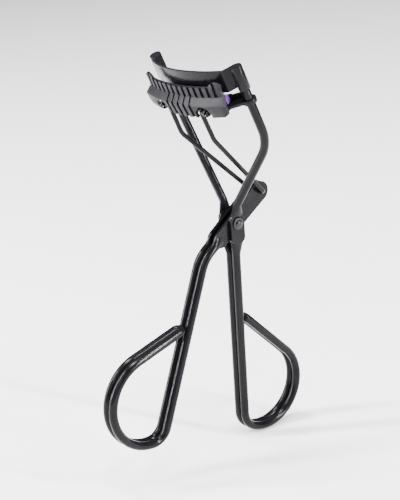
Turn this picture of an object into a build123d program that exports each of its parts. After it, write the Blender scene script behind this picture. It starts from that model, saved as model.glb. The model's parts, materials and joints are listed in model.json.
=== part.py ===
from build123d import *
import math
import os

os.makedirs("parts", exist_ok=True)

# Eyelash curler. Everything is modelled about the rivet: X along the rivet, Y from the jaw side
# towards the back of the hand, Z up the frame handle. The assembly is moved at the end so that the
# origin is the middle of the bottom of its bounding box.

# ---- driving dimensions (mm) ----
wire_r = 1.2
wire_x = 1.25                # half spacing of the two wires of a handle
post_x = 16.4                # half spacing of the two upright posts
post_lean = 24.1             # lean of the posts towards -Y, degrees
post_offset = 10.06          # distance of the rivet in front of the post plane, in the leaning frame
post_top = 46.2              # height of the post tops, in the leaning frame
post_bend_r = 12.0

plate_t = 0.9                # flattened frame wire at the rivet
plate_x = 2.25
plate_w = 4.9
plate_top = 2.8
plate_bottom = -5.8
rod_start = (2.95, 0.0, 5.7)  # where the flattening of the frame rod begins

lever_plate_t = 0.85
lever_plate_x = 1.275
lever_plate_w = 4.7
link_end_w = 5.6             # width of the lever's rounded upper end
lever_tilt = 35.0            # slope of the lever's upper arm
link_hole_reach = 11.9       # rivet to link hole
lever_flat_end = 6.4
lever_round_start = 9.4
lever_bend_r = 10.0
lever_foot = (-7.18, 2.75)   # point of the lever handle line nearest the rivet
lever_handle_angle = 21.1    # lean of the lever handle from vertical

# Each finger loop: distance from the rivet to its centre along the handle, radius, distance of its
# centre from the handle, radius of the lower corner, distance from the handle at which the hairpin
# turns, and the angle at which the wire leaves the round part.
frame_loop = (52.5, 12.2, 8.7, 5.7, 3.0, 135.0)
lever_loop = (51.3, 12.9, 7.5, 5.0, 3.1, 144.0)

rivet_r = 1.1
rivet_half = 3.6
rivet_dome = 0.55
washer_r = 1.75
washer_t = 0.45
rivet_play = 0.05
link_r = 0.65
link_play = 0.07

jaw_r = 32.0                 # plan radius of the jaws
jaw_sag_y = -6.0             # middle of the jaw in the leaning frame
jaw_half = 13.7
jaw_t = 0.6
jaw_bottom = 40.2
jaw_crown = 1.0
tube_r = 1.6
tube_bottom = 39.6

base_bottom = 35.9
base_top = 36.6
wall_top = 38.4
channel_half_w = 2.1
wall_t = 0.5
channel_half_angle = 24.0
ring_r = 1.9
ring_bottom = 35.4
ring_play = 0.06
tab_x = 8.8
tab_t = 0.8
tab_r = 1.2
pin_slot_r = 0.71            # close fit along the posts
pin_slot_float = 0.22        # room either way across the posts, for the swing of the link
pin_y = -8.45
pin_z = 36.9
link_top_x = 6.5
link_corner = (6.7, -8.5, 27.8)

pad_half_w = 1.6
pad_half_angle = 23.0
pad_shoulder = 38.3
pad_top = 39.35

comb_r = 53.0                # the comb is flatter in plan than the jaws
comb_front_y = -8.0
comb_half = 15.0             # half width at the two raised ends
comb_waist = 14.5
skirt_half = 16.0            # half width of the flared lower part
comb_top = 43.6              # top edge between the raised ends
comb_ear = 44.9
comb_step_top = 40.8         # the front steps outwards between these two heights
comb_step_bottom = 39.2
comb_bottom = 35.4
rib_pitch = 2.2
groove_w = 0.95
groove_d = 0.45


def rounded_path(points, radii):
    """Straight runs joined by tangent arcs, one radius per inner corner."""
    pts = [Vector(*p) for p in points]
    edges = []
    start = pts[0]
    for before, corner, after, radius in zip(pts, pts[1:], pts[2:], radii):
        d_in = (corner - before).normalized()
        d_out = (after - corner).normalized()
        half_turn = math.radians(d_in.get_angle(d_out)) / 2
        reach = radius * math.tan(half_turn)
        depth = radius / math.cos(half_turn) - radius
        arc_start = corner - d_in * reach
        arc_end = corner + d_out * reach
        arc_mid = corner + (d_out - d_in).normalized() * depth
        edges.append(Line(start, arc_start))
        edges.append(ThreePointArc(arc_start, arc_mid, arc_end))
        start = arc_end
    edges.append(Line(start, pts[-1]))
    return Wire(edges)


def round_sweep(path, radius):
    """A round wire along a path."""
    section = Plane(path @ 0, z_dir=path % 0) * Circle(radius)
    return sweep(section, path)


def both_sides(half):
    """A half and its mirror image about the plane between the two wires."""
    return half + mirror(half, about=Plane.YZ)


def polar(centre, radius, angle):
    """Point at an angle (degrees) round a centre."""
    a = math.radians(angle)
    return (centre[0] + radius * math.cos(a), centre[1] + radius * math.sin(a))


def handle_half(place, start_along, loop):
    """One wire of a handle: straight, round the finger loop, back to a hairpin at the handle.

    place(x, along, across) turns handle coordinates into a 3-D point.
    """
    loop_along, loop_r, loop_offset, corner_r, loop_end_offset, loop_exit_angle = loop
    big = (loop_along, loop_offset)
    reach = math.sqrt((loop_r - corner_r) ** 2 - (loop_offset - corner_r) ** 2)
    small = (loop_along + reach, corner_r)
    joint_angle = math.degrees(math.atan2(corner_r - loop_offset, reach))
    arc_in = (small[0], 0.0)
    arc_in_mid = polar(small, corner_r, (joint_angle - 90) / 2)
    arc_join = polar(big, loop_r, joint_angle)
    loop_mid = polar(big, loop_r, (joint_angle + loop_exit_angle) / 2)
    loop_exit = polar(big, loop_r, loop_exit_angle)
    run = (loop_end_offset - loop_exit[1]) / math.cos(math.radians(loop_exit_angle))
    back = math.radians(loop_exit_angle + 90)
    step = (math.cos(back), math.sin(back))
    turn = (loop_exit[0] + run * step[0], loop_exit[1] + run * step[1])
    quarter = math.sqrt(0.5) * wire_x
    turn_mid = (turn[0] + quarter * step[0], turn[1] + quarter * step[1])
    turn_end = (turn[0] + wire_x * step[0], turn[1] + wire_x * step[1])
    path = Wire([
        Line(place(wire_x, start_along, 0), place(wire_x, *arc_in)),
        ThreePointArc(place(wire_x, *arc_in), place(wire_x, *arc_in_mid), place(wire_x, *arc_join)),
        ThreePointArc(place(wire_x, *arc_join), place(wire_x, *loop_mid), place(wire_x, *loop_exit)),
        Line(place(wire_x, *loop_exit), place(wire_x, *turn)),
        ThreePointArc(place(wire_x, *turn), place(quarter, *turn_mid), place(0, *turn_end)),
    ])
    return round_sweep(path, wire_r)


def flattening(round_at, round_dir, flat_at, flat_dir, flat_w, flat_t):
    """Transition of a round wire into its flattened part."""
    round_end = Plane(round_at, x_dir=(0, 1, 0), z_dir=round_dir) * Circle(wire_r)
    across = Vector(*flat_dir).cross(Vector(1, 0, 0))
    flat_end = Plane(flat_at, x_dir=across, z_dir=flat_dir) * Ellipse(flat_w / 2, flat_t / 2)
    return loft([round_end, flat_end])


def leaning(part):
    """Move a part from the leaning frame of the posts to the frame of the rivet."""
    return Rot(post_lean, 0, 0) * Pos(0, post_offset, 0) * part


def leaning_point(x, y, z):
    """The same move for a point."""
    a = math.radians(post_lean)
    s = y + post_offset
    return (x, s * math.cos(a) - z * math.sin(a), s * math.sin(a) + z * math.cos(a))


def plan_sweep(outline, half_angle, centre_angle=0.0, radius=jaw_r, front_y=jaw_sag_y):
    """Revolve a (distance in front, height) outline round the plan centre of the jaws or comb."""
    points = [(0, front_y - out, z) for out, z in outline]
    face = make_face(Polyline(*points, close=True))
    axis = Axis((0, front_y + radius, 0), (0, 0, 1))
    turned = face.rotate(axis, centre_angle - half_angle)
    return revolve(turned, axis, 2 * half_angle)


def front_block(outline_face):
    """Extrude a front-view outline through the whole jaw."""
    return extrude(Plane.XZ * outline_face, amount=30, both=True)


# ---- frame wire ----
corner_height = post_offset / math.tan(math.radians(post_lean))
post_base = leaning_point(post_x, 0, corner_height)
rod_dir = Vector(*post_base) - Vector(*rod_start)
post_path = rounded_path([leaning_point(post_x, 0, post_top), post_base, rod_start], [post_bend_r])
frame_handle = handle_half(lambda x, along, across: (x, across, -along), 9.4, frame_loop)
frame_plate = Pos(plate_x, 0, (plate_top + plate_bottom) / 2) * Box(
    plate_t, plate_w, plate_top - plate_bottom
)
frame_plate = fillet(frame_plate.edges().filter_by(Axis.X), 1.6)
frame_half = (
    round_sweep(post_path, wire_r)
    + flattening(rod_start, tuple(rod_dir), (plate_x, 0, plate_top - 1.2), (0, 0, -1), plate_w, plate_t)
    + frame_plate
    + flattening(
        (wire_x, 0, -9.4), (0, 0, -1), (plate_x, 0, plate_bottom + 1.4), (0, 0, -1), plate_w, plate_t
    )
    + frame_handle
)
rivet_hole = Rot(0, 90, 0) * Cylinder(rivet_r, 12)
frame_wire = both_sides(frame_half) - rivet_hole

# ---- rivet and its two rings ----
rivet_pin = Cylinder(rivet_r, 2 * rivet_half)
pivot_rivet = Rot(0, 90, 0) * fillet(rivet_pin.edges().filter_by(GeomType.CIRCLE), rivet_dome)
washer = Rot(0, 90, 0) * (Cylinder(washer_r, washer_t) - Cylinder(rivet_r, washer_t))
washer = fillet(washer.edges().group_by(Axis.X)[-1].sort_by(SortBy.RADIUS)[-1], 0.2)
washer_shift = plate_x + plate_t / 2 + washer_t / 2
washer_right = Pos(washer_shift, 0, 0) * washer
pivot_washers = Compound(children=[washer_right, mirror(washer_right, about=Plane.YZ)])

# ---- lever wire ----
tilt = math.radians(lever_tilt)
arm = (0, math.cos(tilt), math.sin(tilt))
link_hole = (0, link_hole_reach * arm[1], link_hole_reach * arm[2])
lean = math.radians(lever_handle_angle)


def lever_place(x, along, across):
    """Handle coordinates of the lever."""
    y = lever_foot[0] - along * math.sin(lean) - across * math.cos(lean)
    z = lever_foot[1] - along * math.cos(lean) + across * math.sin(lean)
    return (x, y, z)


def arm_point(x, reach):
    """Point on the line of the lever's upper arm."""
    return (x, reach * arm[1], reach * arm[2])


slope_in = (arm[1], arm[2])
slope_down = (math.sin(lean), math.cos(lean))
det = slope_in[0] * slope_down[1] - slope_in[1] * slope_down[0]
bend_reach = (lever_foot[0] * slope_down[1] - lever_foot[1] * slope_down[0]) / det
lever_bend = arm_point(wire_x, bend_reach)
lever_straight = lever_place(wire_x, 24, 0)
lever_bend_path = rounded_path(
    [arm_point(wire_x, -lever_round_start), lever_bend, lever_straight], [lever_bend_r]
)
arm_ends = Pos(link_hole_reach, 0) * Circle(link_end_w / 2)
arm_ends += Pos(-lever_flat_end, 0) * Circle(lever_plate_w / 2)
arm_plate = extrude(make_hull(arm_ends.edges()), amount=lever_plate_t / 2, both=True)
arm_plate -= Pos(link_hole_reach, 0, 0) * Cylinder(link_r + link_play, 3)
arm_plane = Plane(arm_point(lever_plate_x, 0), x_dir=arm, z_dir=(1, 0, 0))
away = (0, -arm[1], -arm[2])
lever_half = (
    arm_plane * arm_plate
    + flattening(
        arm_point(wire_x, -lever_round_start), away,
        arm_point(lever_plate_x, -lever_flat_end + 0.4), away,
        lever_plate_w, lever_plate_t,
    )
    + round_sweep(lever_bend_path, wire_r)
    + handle_half(lever_place, 24, lever_loop)
)
lever_hole = Rot(0, 90, 0) * Cylinder(rivet_r + rivet_play, 12)
lever_wire = both_sides(lever_half) - lever_hole

# ---- upper jaw: curved plate, two flanges, two tubes on the posts ----
axis_y = jaw_sag_y + jaw_r
end_angle = math.degrees(math.asin(jaw_half / jaw_r))
jaw_end_y = axis_y - jaw_r * math.cos(math.radians(end_angle))
tangent_gap = tube_r - jaw_t / 2
reach_to_post = math.hypot(post_x - jaw_half, jaw_end_y)
heading = math.atan2(-jaw_end_y, post_x - jaw_half) + math.asin(tangent_gap / reach_to_post)
flange_run = math.sqrt(reach_to_post ** 2 - tangent_gap ** 2)
flange_end = (jaw_half + flange_run * math.cos(heading), jaw_end_y + flange_run * math.sin(heading))
flange_middle = ((jaw_half + flange_end[0]) / 2, (jaw_end_y + flange_end[1]) / 2)
jaw_height = post_top - jaw_bottom
flange = Pos(*flange_middle, jaw_bottom + jaw_height / 2) * Rot(0, 0, math.degrees(heading)) * Box(
    flange_run + 0.1, jaw_t, jaw_height
)
fold = Pos(jaw_half, jaw_end_y, jaw_bottom + jaw_height / 2) * Cylinder(jaw_t / 2, jaw_height)
tube_height = post_top - tube_bottom
tube = Pos(post_x, 0, tube_bottom + tube_height / 2) * Cylinder(tube_r, tube_height)
blade = plan_sweep(
    [(-0.3, jaw_bottom), (0.3, jaw_bottom), (0.3, 48), (-0.3, 48)], end_angle
)
crown_face = make_face([
    Polyline((-jaw_half - 1, post_top), (-jaw_half - 1, 30), (jaw_half + 1, 30), (jaw_half + 1, post_top)),
    ThreePointArc((jaw_half + 1, post_top), (0, post_top + jaw_crown), (-jaw_half - 1, post_top)),
])
blade = blade & front_block(crown_face)
post_bore = Pos(post_x, 0, 40) * Cylinder(wire_r, 40)
upper_jaw = leaning(blade + both_sides(flange + fold + tube - post_bore))

# ---- lower jaw: channel, arms, eyelets on the posts, tabs for the link ----
channel_outline = [
    (-channel_half_w, base_bottom), (channel_half_w, base_bottom), (channel_half_w, wall_top),
    (channel_half_w - wall_t, wall_top), (channel_half_w - wall_t, base_top),
    (wall_t - channel_half_w, base_top), (wall_t - channel_half_w, wall_top),
    (-channel_half_w, wall_top),
]
channel = plan_sweep(channel_outline, channel_half_angle)
end_in = polar((0, axis_y), jaw_r - channel_half_w, channel_half_angle - 91)
end_out = polar((0, axis_y), jaw_r + channel_half_w - 0.4, channel_half_angle - 91)
arm_face = make_face(Polyline(end_in, end_out, (post_x + 0.5, -1.7), (post_x - 1.2, 1.5), close=True))
jaw_arm = extrude(Pos(0, 0, base_bottom) * arm_face, amount=base_top - base_bottom)
rear_face = make_face(Polyline(
    end_in, (end_in[0] + 0.18, end_in[1] - 0.4), (post_x - 1.0, 0.9), (post_x - 1.2, 1.5), close=True
))
rear_wall = extrude(Pos(0, 0, base_bottom) * rear_face, amount=wall_top - 0.3 - base_bottom)
ring_height = base_top - ring_bottom
ring = Pos(post_x, 0, ring_bottom + ring_height / 2) * Cylinder(ring_r, ring_height)
slide_bore = Pos(post_x, 0, 36) * Cylinder(wire_r + ring_play, 20)
tab_round = Pos(tab_x, pin_y, pin_z) * Rot(0, 90, 0) * Cylinder(tab_r, tab_t)
tab_stem = Pos(tab_x, pin_y + 0.9, pin_z) * Box(tab_t, 1.8, 2 * tab_r)
pin_slot_face = SlotCenterToCenter(2 * pin_slot_float, 2 * pin_slot_r)
pin_slot = Plane((tab_x, pin_y, pin_z), x_dir=(0, 1, 0), z_dir=(1, 0, 0)) * extrude(
    pin_slot_face, amount=2, both=True
)
carriage_side = jaw_arm + rear_wall + ring + tab_round + tab_stem - slide_bore - pin_slot
lower_jaw = leaning(channel + both_sides(carriage_side))

# ---- silicone pad ----
pad_outline = [
    (-pad_half_w, base_top), (pad_half_w, base_top), (pad_half_w, pad_shoulder), (1.25, 38.95),
    (0.65, 39.27), (0, pad_top), (-0.65, 39.27), (-1.25, 38.95), (-pad_half_w, pad_shoulder),
]
silicone_pad = leaning(plan_sweep(pad_outline, pad_half_angle))

# ---- ribbed comb ----
comb_front = [
    (0.1, comb_ear + 0.5), (0.3, comb_step_top), (2.0, comb_step_bottom), (1.7, comb_bottom - 0.6),
]
comb_back = [
    (1.0, comb_bottom - 0.6), (1.2, comb_step_bottom - 0.2), (-0.6, comb_step_top),
    (-0.6, comb_ear + 0.5),
]
comb_right = [
    Line((0, comb_top), (10.4, comb_top)),
    ThreePointArc((10.4, comb_top), (11.4, comb_top + 0.35), (12.1, comb_ear - 0.35)),
    ThreePointArc((12.1, comb_ear - 0.35), (13.4, comb_ear), (comb_half, comb_ear - 0.9)),
    Line((comb_half, comb_ear - 0.9), (comb_waist, 42.2)),
    Line((comb_waist, 42.2), (comb_half, comb_step_top)),
    Line((comb_half, comb_step_top), (skirt_half, comb_step_bottom)),
    Line((skirt_half, comb_step_bottom), (skirt_half, 37.4)),
    ThreePointArc((skirt_half, 37.4), (15.5, 36.2), (14.2, 35.8)),
    ThreePointArc((14.2, 35.8), (7.1, comb_bottom + 0.1), (0, comb_bottom)),
]
comb_outline = make_face(comb_right + [edge.mirror(Plane.YZ) for edge in comb_right])
comb_angle = math.degrees(math.asin(skirt_half / comb_r)) + 1.5
comb = plan_sweep(comb_front + comb_back, comb_angle, 0, comb_r, comb_front_y) & front_block(comb_outline)
bridge_outline = [(channel_half_w, 36.4), (3.3, 36.4), (3.3, 38.3), (channel_half_w, 38.3)]
comb += plan_sweep(bridge_outline, 7.5)


def groove(offset, front):
    """A vertical groove between two ribs, following the front surface."""
    inner = [(out - groove_d, z) for out, z in front]
    outer = [(out + 1.0, z) for out, z in reversed(front)]
    half = math.degrees(groove_w / 2 / comb_r)
    return plan_sweep(inner + outer, half, math.degrees(offset / comb_r), comb_r, comb_front_y)


short_front = [(0.05, comb_ear + 1.0), (0.3, comb_step_top)]
for i in range(-6, 7):
    comb -= groove(i * rib_pitch, comb_front if abs(i) < 3 else short_front)
window_face = make_face([
    Polyline((5.7, 37.0), (5.7, 34), (10.9, 34), (10.9, 37.0)),
    ThreePointArc((10.9, 37.0), (8.3, 38.9), (5.7, 37.0)),
])
window = Pos(0, -8, 0) * extrude(Plane.XZ * window_face, amount=4, both=True)
comb -= both_sides(window)
lash_comb = leaning(comb)

# ---- link wire ----
link_pin = (tab_x + 1.1, pin_y, pin_z)
link_top = (link_top_x, pin_y, pin_z)
link_path = rounded_path(
    [(0, link_hole[1], link_hole[2]), (2.95, link_hole[1], link_hole[2]),
     leaning_point(*link_corner), leaning_point(*link_top), leaning_point(*link_pin)],
    [1.0, 5.0, 1.0],
)
link_wire = both_sides(round_sweep(link_path, link_r))

# ---- place the assembly and export ----
parts = {
    "frame_wire": frame_wire,
    "lever_wire": lever_wire,
    "link_wire": link_wire,
    "pivot_rivet": pivot_rivet,
    "pivot_washers": pivot_washers,
    "upper_jaw": upper_jaw,
    "lower_jaw": lower_jaw,
    "silicone_pad": silicone_pad,
    "lash_comb": lash_comb,
}
boxes = [part.bounding_box() for part in parts.values()]
low = [min(tuple(box.min)[i] for box in boxes) for i in range(3)]
high = [max(tuple(box.max)[i] for box in boxes) for i in range(3)]
shift = (-(low[0] + high[0]) / 2, -(low[1] + high[1]) / 2, -low[2])
for name, part in parts.items():
    export_step(Pos(*shift) * part, f"parts/{name}.step")

print("size", [round(b - a, 3) for a, b in zip(low, high)])
print("rivet", [round(v, 3) for v in shift])
print("link hole", [round(v + s, 3) for v, s in zip(link_hole, shift)])
print("link pin", [round(v + s, 3) for v, s in zip(leaning_point(*link_top), shift)])
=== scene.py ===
import json
import math

import bmesh
import bpy
from mathutils import Matrix, Vector


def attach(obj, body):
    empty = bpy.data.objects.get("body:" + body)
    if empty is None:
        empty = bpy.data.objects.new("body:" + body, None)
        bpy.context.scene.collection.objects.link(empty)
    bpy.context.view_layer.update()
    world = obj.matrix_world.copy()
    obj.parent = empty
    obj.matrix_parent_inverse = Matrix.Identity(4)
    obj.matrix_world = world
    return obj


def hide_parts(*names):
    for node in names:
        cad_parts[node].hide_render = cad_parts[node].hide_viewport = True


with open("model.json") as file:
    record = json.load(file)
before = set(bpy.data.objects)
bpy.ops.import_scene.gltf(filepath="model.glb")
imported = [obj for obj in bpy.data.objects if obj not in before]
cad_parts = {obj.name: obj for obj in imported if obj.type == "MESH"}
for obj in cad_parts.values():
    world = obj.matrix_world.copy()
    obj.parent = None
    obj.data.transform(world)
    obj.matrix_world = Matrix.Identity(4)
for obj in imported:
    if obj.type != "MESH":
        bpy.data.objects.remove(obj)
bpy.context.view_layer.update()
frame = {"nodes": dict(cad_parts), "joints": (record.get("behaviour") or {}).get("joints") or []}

MM = 0.001
JOINTS = {joint["name"]: joint for joint in frame["joints"]}
RIVET = Vector(JOINTS["lever_hinge"]["pos_m"])
SLIDE = Vector(JOINTS["carriage_slide"]["axis"]).normalized()

# ---- silicone pad (mm, in the leaning frame of the posts) ----
POST_OFFSET = 10.06          # rivet to the plane of the posts
JAW_RADIUS = 32.0            # plan radius of the jaws
JAW_FRONT = -6.0             # middle of the jaw
CHANNEL_FLOOR = 36.6
PAD_TOP = 39.35
PAD_HALF_WIDTH = 1.58
PAD_FOOT_HEIGHT = 1.6        # below the crown
PAD_HALF_ANGLE = 22.9
PAD_END_ROUND = 0.55         # length over which each end is rounded off
PAD_END_SHRINK = 0.22        # share of the section lost at the very end
PAD_WAIST = 0.12             # how much each side draws in below the crown
PAD_STRAIGHT_TOP = 0.9       # height at which the sides start to draw in
PAD_CHAMFER = 0.15           # on the foot's lower corners
PAD_CLEARANCE = 0.02         # between the foot and the channel floor
PAD_SIDE_FULLNESS = 0.9      # exponents of the crown's curve: 1 is an ellipse, less is fuller
PAD_CROWN_FULLNESS = 0.85
PAD_CROWN_STEPS = 14
PAD_STATIONS = 97            # sections along the strip

# ---- camera (degrees and metres) ----
CAMERA_AZIMUTH = 51.56
CAMERA_ELEVATION = 18.85
CAMERA_ROLL = -3.78
CAMERA_DISTANCE = 0.33101
CAMERA_SLIDE = (-0.00867, -0.00785)     # to the right and up, from the line of sight to the rivet
CAMERA_LENS = 86.4           # mm, on a sensor this many mm high
CAMERA_SENSOR = 36.0

# ---- studio (metres) ----
FLOOR_HALF_SIDE = 12.0
FLOOR_DROP = 0.0002          # keeps the floor clear of the lowest point of the wire
WORLD_STRENGTH = 0.4

# ---- edges ----
WELD_DISTANCE = 0.002        # mm, joins the facets' corners before the bevel
EDGE_ANGLE = 38.0            # degrees; edges that turn by more are rounded
WEAR_STARTS = 0.985          # cosine between the true and the rounded normal where wear begins
WEAR_FULL = 0.88


# ---------------------------------------------------------------- materials
class Nodes:
    """A material under construction: short names for the node calls used below."""

    COLOUR_A, COLOUR_B, COLOUR_OUT = 6, 7, 2     # colour sockets of the Mix node

    def __init__(self, name, colour, roughness):
        self.material = bpy.data.materials.new(name)
        self.material.use_nodes = True
        self.tree = self.material.node_tree
        self.shader = self.tree.nodes["Principled BSDF"]
        self.coords = self.tree.nodes.new("ShaderNodeTexCoord").outputs["Object"]
        self.set("Base Color", (*colour, 1))
        self.set("Roughness", roughness)

    def set(self, socket, value):
        self.shader.inputs[socket].default_value = value

    def link(self, source, target):
        self.tree.links.new(source, target)

    def noise(self, scale, detail=3.0, stretch=(1, 1, 1), distortion=0.0):
        """Noise over the object's own coordinates; scale is in features per metre."""
        mapping = self.tree.nodes.new("ShaderNodeMapping")
        mapping.inputs["Scale"].default_value = stretch
        self.link(self.coords, mapping.inputs["Vector"])
        noise = self.tree.nodes.new("ShaderNodeTexNoise")
        noise.inputs["Scale"].default_value = scale
        noise.inputs["Detail"].default_value = detail
        noise.inputs["Distortion"].default_value = distortion
        self.link(mapping.outputs["Vector"], noise.inputs["Vector"])
        return noise.outputs["Fac"]

    def spots(self, scale):
        """Distance to scattered points, for pits."""
        voronoi = self.tree.nodes.new("ShaderNodeTexVoronoi")
        voronoi.inputs["Scale"].default_value = scale
        self.link(self.coords, voronoi.inputs["Vector"])
        return voronoi.outputs["Distance"]

    def edges(self, radius):
        """1 on edges sharper than the radius (metres), 0 on open surfaces."""
        rounded = self.tree.nodes.new("ShaderNodeBevel")
        rounded.samples = 6
        rounded.inputs["Radius"].default_value = radius
        facing = self.tree.nodes.new("ShaderNodeNewGeometry").outputs["Normal"]
        turn = self.tree.nodes.new("ShaderNodeVectorMath")
        turn.operation = "DOT_PRODUCT"
        self.link(rounded.outputs["Normal"], turn.inputs[0])
        self.link(facing, turn.inputs[1])
        return self.remap(turn.outputs["Value"], WEAR_STARTS, WEAR_FULL, 0.0, 1.0)

    def remap(self, value, from_low, from_high, to_low, to_high):
        node = self.tree.nodes.new("ShaderNodeMapRange")
        node.inputs["From Min"].default_value = from_low
        node.inputs["From Max"].default_value = from_high
        node.inputs["To Min"].default_value = to_low
        node.inputs["To Max"].default_value = to_high
        self.link(value, node.inputs["Value"])
        return node.outputs["Result"]

    def math(self, operation, first, second):
        node = self.tree.nodes.new("ShaderNodeMath")
        node.operation = operation
        for socket, value in zip(node.inputs, (first, second)):
            if isinstance(value, float):
                socket.default_value = value
            else:
                self.link(value, socket)
        return node.outputs["Value"]

    def mix(self, factor, first, second):
        """Colour mix; either colour may be an RGB tuple or the output of another mix."""
        node = self.tree.nodes.new("ShaderNodeMix")
        node.data_type = "RGBA"
        self.link(factor, node.inputs["Factor"])
        for index, value in ((self.COLOUR_A, first), (self.COLOUR_B, second)):
            if isinstance(value, tuple):
                node.inputs[index].default_value = (*value, 1)
            else:
                self.link(value, node.inputs[index])
        return node.outputs[self.COLOUR_OUT]

    def paint(self, colour):
        self.link(colour, self.shader.inputs["Base Color"])

    def rough(self, value):
        self.link(value, self.shader.inputs["Roughness"])

    def relief(self, *layers):
        """Stacked bump layers, each (height, depth in metres, strength)."""
        normal = None
        for height, depth, strength in layers:
            bump = self.tree.nodes.new("ShaderNodeBump")
            bump.inputs["Strength"].default_value = strength
            bump.inputs["Distance"].default_value = depth
            self.link(height, bump.inputs["Height"])
            if normal is not None:
                self.link(normal, bump.inputs["Normal"])
            normal = bump.outputs["Normal"]
        self.link(normal, self.shader.inputs["Normal"])


def lighter(colour, amount):
    """The colour times an amount; under 1 it is darker."""
    return tuple(min(1.0, c * amount) for c in colour)


def black_enamel(name, colour, roughness, peel_depth, wear):
    """Baked black enamel on metal: orange peel, faint handling haze, edges rubbed a little grey."""
    m = Nodes(name, colour, roughness)
    cloud = m.noise(220, 4)
    haze = m.noise(700, 3, distortion=0.6)
    peel = m.noise(1500, 1)
    worn = m.math("MULTIPLY", m.edges(0.00008), m.remap(haze, 0.45, 0.65, 0.0, wear))
    tone = m.mix(m.remap(cloud, 0.35, 0.65, 0.0, 1.0), lighter(colour, 0.8), lighter(colour, 1.3))
    m.paint(m.mix(worn, tone, (0.09, 0.09, 0.095)))
    smudge = m.remap(haze, 0.3, 0.7, roughness - 0.03, roughness + 0.05)
    m.rough(m.math("ADD", smudge, m.remap(cloud, 0.3, 0.7, -0.02, 0.02)))
    m.relief((peel, peel_depth, 0.4))
    m.set("Specular IOR Level", 0.1)
    return m.material


def rivet_black(name, colour, roughness):
    """Blackened rivet: turned finish, rubbed paler along its edges."""
    m = Nodes(name, colour, roughness)
    turned = m.noise(1500, 3, stretch=(6, 1, 1))
    scuff = m.noise(2400, 5, distortion=1.2)
    worn = m.math("MULTIPLY", m.edges(0.00015), m.remap(scuff, 0.42, 0.6, 0.0, 0.6))
    m.paint(m.mix(worn, colour, (0.2, 0.2, 0.21)))
    m.rough(m.remap(scuff, 0.3, 0.7, roughness - 0.06, roughness + 0.08))
    m.relief((turned, 0.00002, 0.4))
    m.set("Metallic", 0.1)
    m.set("Specular IOR Level", 0.3)
    return m.material


def moulded_plastic(name, colour, roughness):
    """Spark-eroded charcoal plastic: fine grain, slight flow marks, dust-pale edges."""
    m = Nodes(name, colour, roughness)
    grain = m.noise(7000, 3)
    pits = m.spots(5200)
    flow = m.noise(260, 3, stretch=(1, 1, 3), distortion=0.4)
    edge = m.math("MULTIPLY", m.edges(0.00012), 0.3)
    tone = m.mix(m.remap(flow, 0.35, 0.65, 0.0, 1.0), lighter(colour, 0.88), lighter(colour, 1.14))
    fleck = m.mix(m.remap(grain, 0.58, 0.72, 0.0, 0.4), tone, lighter(colour, 1.7))
    m.paint(m.mix(edge, fleck, lighter(colour, 2.2)))
    m.rough(m.remap(grain, 0.3, 0.7, roughness - 0.06, roughness + 0.1))
    m.relief((grain, 0.00003, 0.6), (pits, 0.00002, 0.4))
    m.set("Specular IOR Level", 0.14)
    return m.material


def soft_silicone(name, colour, roughness):
    """Pigmented silicone: light carried under the skin, fine mould texture, a little lint."""
    m = Nodes(name, colour, roughness)
    cloud = m.noise(420, 3)
    skin = m.noise(5200, 3)
    lint = m.noise(3600, 6, distortion=2.0)
    tone = m.mix(m.remap(cloud, 0.35, 0.65, 0.0, 1.0), lighter(colour, 0.86), lighter(colour, 1.12))
    m.paint(m.mix(m.remap(lint, 0.66, 0.78, 0.0, 0.35), tone, lighter(colour, 2.0)))
    m.rough(m.remap(skin, 0.3, 0.7, roughness - 0.06, roughness + 0.08))
    m.relief((skin, 0.00002, 0.5))
    m.set("Subsurface Weight", 0.25)
    m.set("Subsurface Radius", (0.6, 0.25, 0.9))
    m.set("Subsurface Scale", 0.0008)
    m.set("Sheen Weight", 0.1)
    return m.material


wire_paint = black_enamel("black_wire", (0.0035, 0.0035, 0.0045), 0.17, 0.000001, 0.35)
sheet_paint = black_enamel("black_sheet", (0.0035, 0.0035, 0.0045), 0.22, 0.000002, 0.4)
rivet_paint = rivet_black("black_rivet", (0.005, 0.005, 0.006), 0.22)
comb_plastic = moulded_plastic("charcoal_plastic", (0.0048, 0.0045, 0.0068), 0.46)
pad_silicone = soft_silicone("purple_silicone", (0.16, 0.03, 0.36), 0.42)

FINISHES = {
    "frame_wire": wire_paint,
    "lever_wire": wire_paint,
    "link_wire": wire_paint,
    "upper_jaw": sheet_paint,
    "lower_jaw": sheet_paint,
    "pivot_rivet": rivet_paint,
    "pivot_washers": rivet_paint,
    "lash_comb": comb_plastic,
    "silicone_pad": pad_silicone,
}
EDGE_BREAK = {               # width of the rounding left on sharp edges, mm
    "frame_wire": 0.15,
    "lever_wire": 0.15,
    "link_wire": 0.08,
    "upper_jaw": 0.10,
    "lower_jaw": 0.09,
    "lash_comb": 0.12,
}


def finish_cad_node(name):
    """Gives a CAD node its material and breaks its sharp edges."""
    node = frame["nodes"][name]
    node.data.materials.clear()
    node.data.materials.append(FINISHES[name])
    if name not in EDGE_BREAK:
        return
    weld = node.modifiers.new("weld", "WELD")
    weld.merge_threshold = WELD_DISTANCE * MM
    bevel = node.modifiers.new("edge_break", "BEVEL")
    bevel.width = EDGE_BREAK[name] * MM
    bevel.segments = 2
    bevel.limit_method = "ANGLE"
    bevel.angle_limit = math.radians(EDGE_ANGLE)
    bevel.harden_normals = True
    bevel.use_clamp_overlap = True


for node_name in FINISHES:
    finish_cad_node(node_name)


# ---------------------------------------------------------------- silicone pad
def from_leaning(x, y, z):
    """A point given in mm in the leaning frame of the posts, in the row frame in metres."""
    across = Vector((0, SLIDE.z, -SLIDE.y))
    return RIVET + (Vector((x, 0, 0)) + across * (y + POST_OFFSET) + SLIDE * z) * MM


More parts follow.
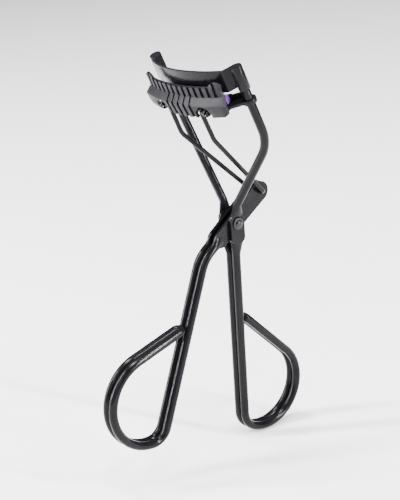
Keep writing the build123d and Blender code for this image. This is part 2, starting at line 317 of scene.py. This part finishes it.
def pad_section():
    """Half-round strip on a straight foot: (across, up from the channel floor), anticlockwise."""
    foot_half = PAD_HALF_WIDTH - PAD_CHAMFER
    crown_half = PAD_HALF_WIDTH - PAD_WAIST
    crown = PAD_TOP - CHANNEL_FLOOR - PAD_FOOT_HEIGHT
    foot_side = PAD_CLEARANCE + PAD_CHAMFER
    points = [(-foot_half, PAD_CLEARANCE), (foot_half, PAD_CLEARANCE), (PAD_HALF_WIDTH, foot_side)]
    points += [(PAD_HALF_WIDTH, PAD_STRAIGHT_TOP), (crown_half, PAD_FOOT_HEIGHT)]
    for i in range(1, PAD_CROWN_STEPS):
        turn = math.pi * i / PAD_CROWN_STEPS
        side = math.copysign(abs(math.cos(turn)) ** PAD_SIDE_FULLNESS, math.cos(turn))
        points.append((crown_half * side, PAD_FOOT_HEIGHT + crown * math.sin(turn) ** PAD_CROWN_FULLNESS))
    points += [(-crown_half, PAD_FOOT_HEIGHT), (-PAD_HALF_WIDTH, PAD_STRAIGHT_TOP)]
    points += [(-PAD_HALF_WIDTH, foot_side)]
    return points


def build_pad():
    """The moulded strip, bent to the plan radius of the jaws, with softened ends."""
    section = pad_section()
    middle = (PAD_TOP - CHANNEL_FLOOR) / 2
    axis_y = JAW_FRONT + JAW_RADIUS
    mesh = bmesh.new()
    rings = []
    for i in range(PAD_STATIONS):
        share = 2 * i / (PAD_STATIONS - 1) - 1
        angle = math.radians(PAD_HALF_ANGLE) * share
        to_end = (1 - abs(share)) * math.radians(PAD_HALF_ANGLE) * JAW_RADIUS
        close = max(0.0, 1 - to_end / PAD_END_ROUND)
        shrink = 1 - PAD_END_SHRINK * (1 - math.sqrt(1 - close ** 2))
        ring = []
        for across, up in section:
            radius = JAW_RADIUS + across * shrink
            height = CHANNEL_FLOOR + middle + (up - middle) * shrink
            point = from_leaning(radius * math.sin(angle), axis_y - radius * math.cos(angle), height)
            ring.append(mesh.verts.new(point))
        rings.append(ring)
    for ring, following in zip(rings, rings[1:]):
        for i in range(len(ring)):
            j = (i + 1) % len(ring)
            mesh.faces.new((ring[i], ring[j], following[j], following[i]))
    for ring in (rings[0], rings[-1]):
        mesh.faces.new(ring)
    bmesh.ops.recalc_face_normals(mesh, faces=mesh.faces)
    data = bpy.data.meshes.new("silicone_strip")
    mesh.to_mesh(data)
    mesh.free()
    for polygon in data.polygons:
        polygon.use_smooth = len(polygon.vertices) == 4
    pad = bpy.data.objects.new("silicone_strip", data)
    bpy.context.scene.collection.objects.link(pad)
    pad.data.materials.append(pad_silicone)
    return pad


pad = build_pad()
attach(pad, "carriage")
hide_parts("silicone_pad")


# ---------------------------------------------------------------- floor, light, camera
def build_floor():
    """A plain pale floor, very faintly mottled."""
    data = bpy.data.meshes.new("floor")
    side = FLOOR_HALF_SIDE
    corners = [(-side, -side, 0), (side, -side, 0), (side, side, 0), (-side, side, 0)]
    data.from_pydata(corners, [], [(0, 1, 2, 3)])
    floor = bpy.data.objects.new("floor", data)
    bpy.context.scene.collection.objects.link(floor)
    m = Nodes("pale_floor", (0.86, 0.86, 0.86), 0.9)
    speckle = m.noise(40, 3)
    m.paint(m.mix(m.remap(speckle, 0.3, 0.7, 0.0, 1.0), (0.855, 0.855, 0.855), (0.87, 0.87, 0.87)))
    floor.data.materials.append(m.material)
    floor.location.z = -FLOOR_DROP


def area_light(name, place, target, size, power):
    """A soft rectangular light facing its target."""
    data = bpy.data.lights.new(name, "AREA")
    data.shape = "RECTANGLE"
    data.size, data.size_y = size
    data.energy = power
    light = bpy.data.objects.new(name, data)
    bpy.context.scene.collection.objects.link(light)
    light.location = place
    light.rotation_mode = "QUATERNION"
    light.rotation_quaternion = (target - place).to_track_quat("-Z", "Y")


def camera_axes():
    """Right, up and back directions of the camera, rolled."""
    azimuth = math.radians(CAMERA_AZIMUTH)
    elevation = math.radians(CAMERA_ELEVATION)
    roll = math.radians(CAMERA_ROLL)
    back = Vector((
        math.sin(azimuth) * math.cos(elevation),
        -math.cos(azimuth) * math.cos(elevation),
        math.sin(elevation),
    ))
    level = Vector((math.cos(azimuth), math.sin(azimuth), 0))
    upright = back.cross(level)
    right = level * math.cos(roll) + upright * math.sin(roll)
    return right, back.cross(right), back


def build_camera():
    """The camera, a little to one side of the line of sight to the rivet."""
    right, up, back = camera_axes()
    data = bpy.data.cameras.new("camera")
    data.sensor_fit = "VERTICAL"
    data.sensor_height = CAMERA_SENSOR
    data.sensor_width = CAMERA_SENSOR
    data.lens = CAMERA_LENS
    data.clip_start = 0.01
    data.clip_end = 20
    camera = bpy.data.objects.new("camera", data)
    bpy.context.scene.collection.objects.link(camera)
    camera.rotation_mode = "QUATERNION"
    camera.rotation_quaternion = Matrix((right, up, back)).transposed().to_quaternion()
    slide_right, slide_up = CAMERA_SLIDE
    camera.location = RIVET + back * CAMERA_DISTANCE + right * slide_right + up * slide_up
    bpy.context.scene.camera = camera


def build_lights():
    """Four soft lights, placed from the rivet as the camera sees it, and an even white world."""
    right, _, back = camera_axes()
    lights = [
        # name, metres sideways, up and towards the camera, (width, height), watts
        ("key", -0.6, 0.25, 0.05, (0.06, 0.7), 22.0),
        ("rim", 0.55, 0.2, 0.35, (0.03, 0.7), 18.0),
        ("fill", -0.25, 0.25, 0.75, (0.025, 0.5), 3.0),
        ("top", -0.1, 1.4, 0.1, (1.2, 0.25), 50.0),
    ]
    for name, sideways, height, towards, size, power in lights:
        place = RIVET + right * sideways + Vector((0, 0, height)) + back * towards
        area_light(name, place, RIVET, size, power)
    world = bpy.data.worlds.new("studio")
    world.use_nodes = True
    background = world.node_tree.nodes["Background"]
    background.inputs["Color"].default_value = (1, 1, 1, 1)
    background.inputs["Strength"].default_value = WORLD_STRENGTH
    bpy.context.scene.world = world


build_floor()
build_lights()
build_camera()

bpy.context.view_layer.update()
